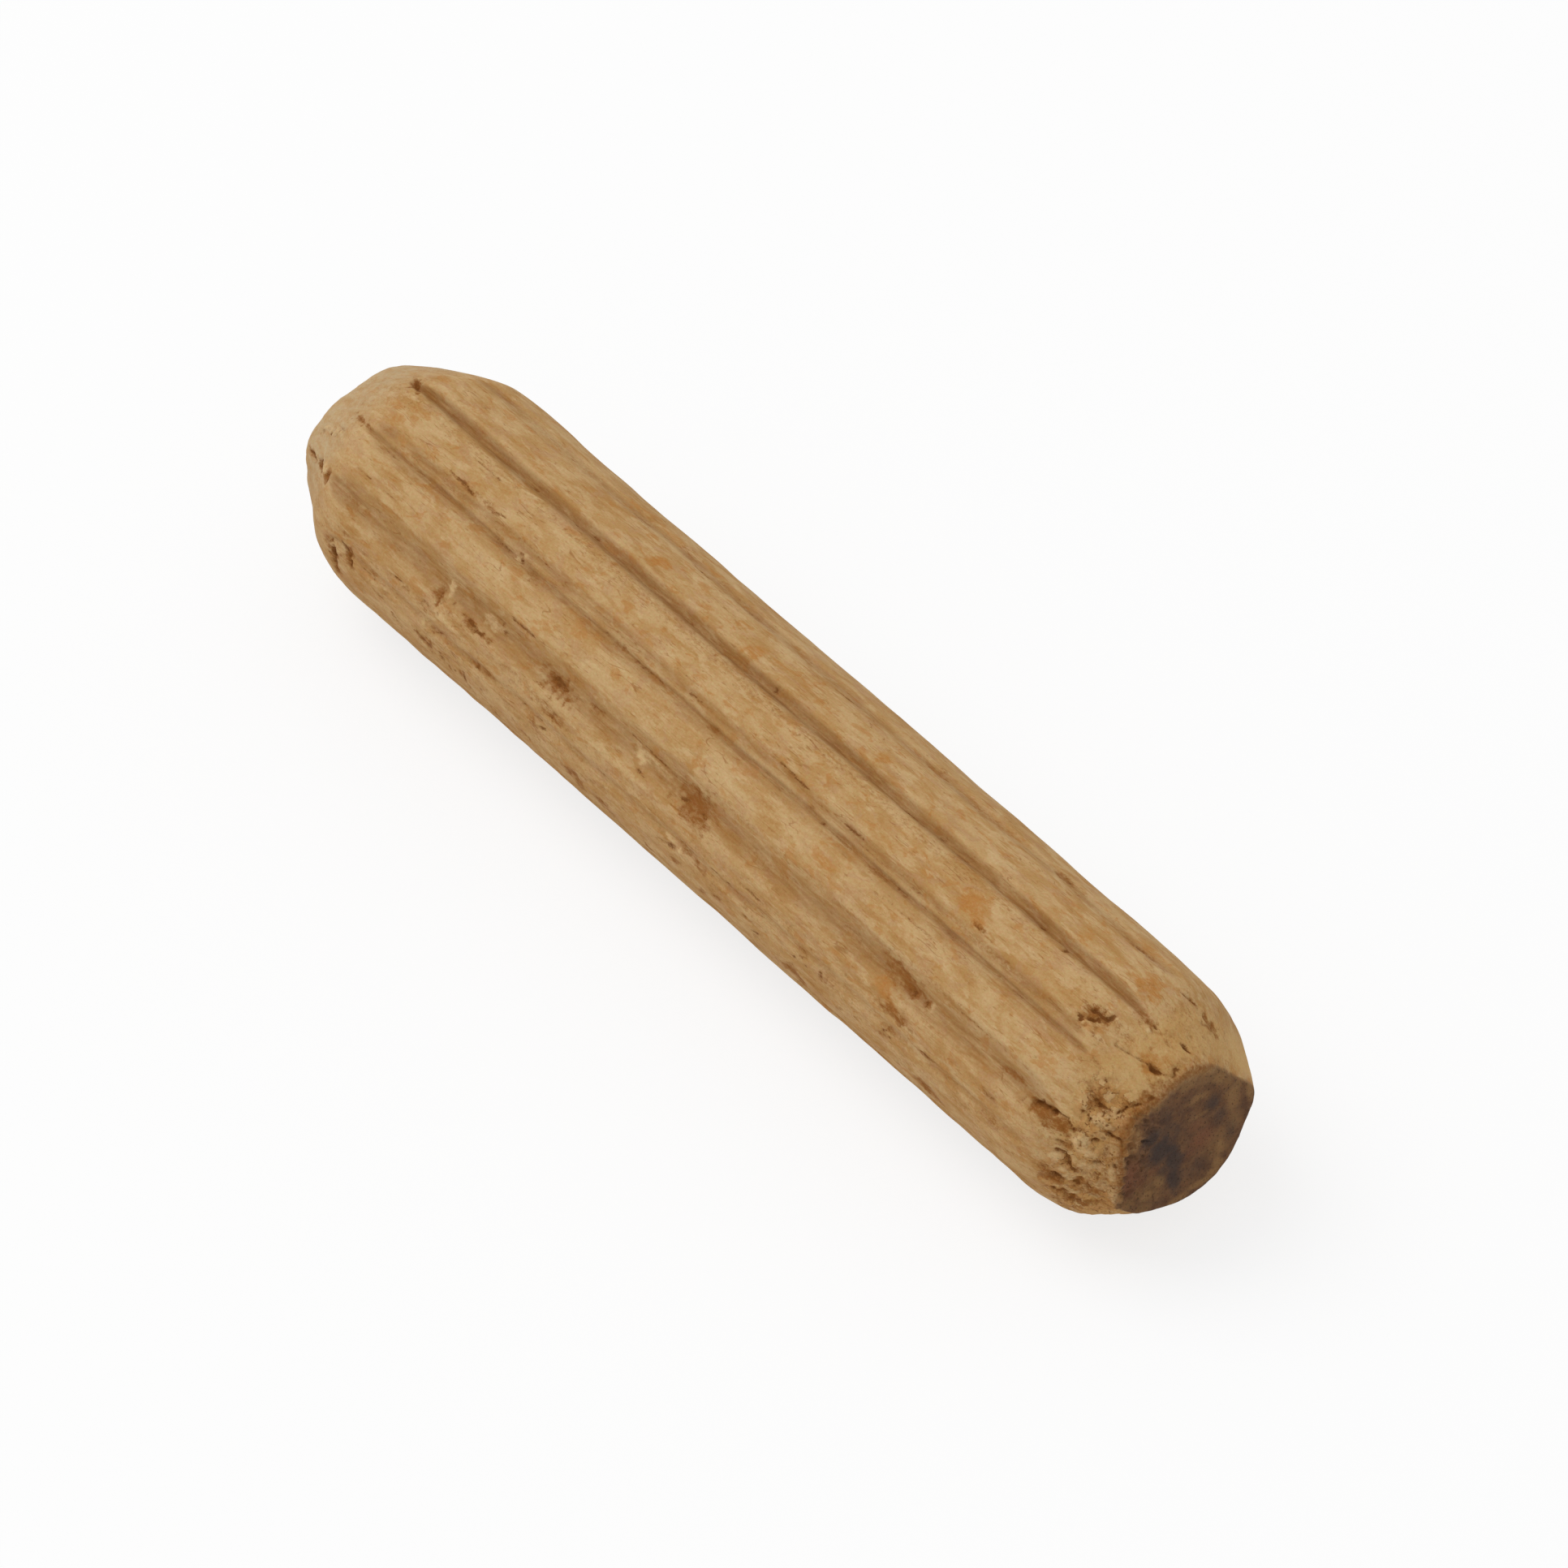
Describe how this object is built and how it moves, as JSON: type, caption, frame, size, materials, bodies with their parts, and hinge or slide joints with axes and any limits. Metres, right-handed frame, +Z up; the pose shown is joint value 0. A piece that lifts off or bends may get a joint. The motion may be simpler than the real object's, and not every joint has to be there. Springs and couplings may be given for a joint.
{
  "type": "dowel pin",
  "caption": "Round hardwood dowel pin with straight glue flutes along its length and a chamfered, softly rounded point at each end.",
  "frame": {"origin": "middle of the pin's axis, halfway between its two end faces", "axes": "+X along the pin towards its trimmed, dark end face; +Z up, away from the surface it lies on; the lowest flute runs along -Z and the pin rests on the two lands beside it"},
  "size_m": [0.04, 0.008, 0.008],
  "materials": {
    "wood": "bare, unsealed hardwood with fine grain, darker in the flutes, with one end face stained dark brown"
  },
  "bodies": {
    "root": {"dowel_pin": "wood"}
  },
  "joints": []
}
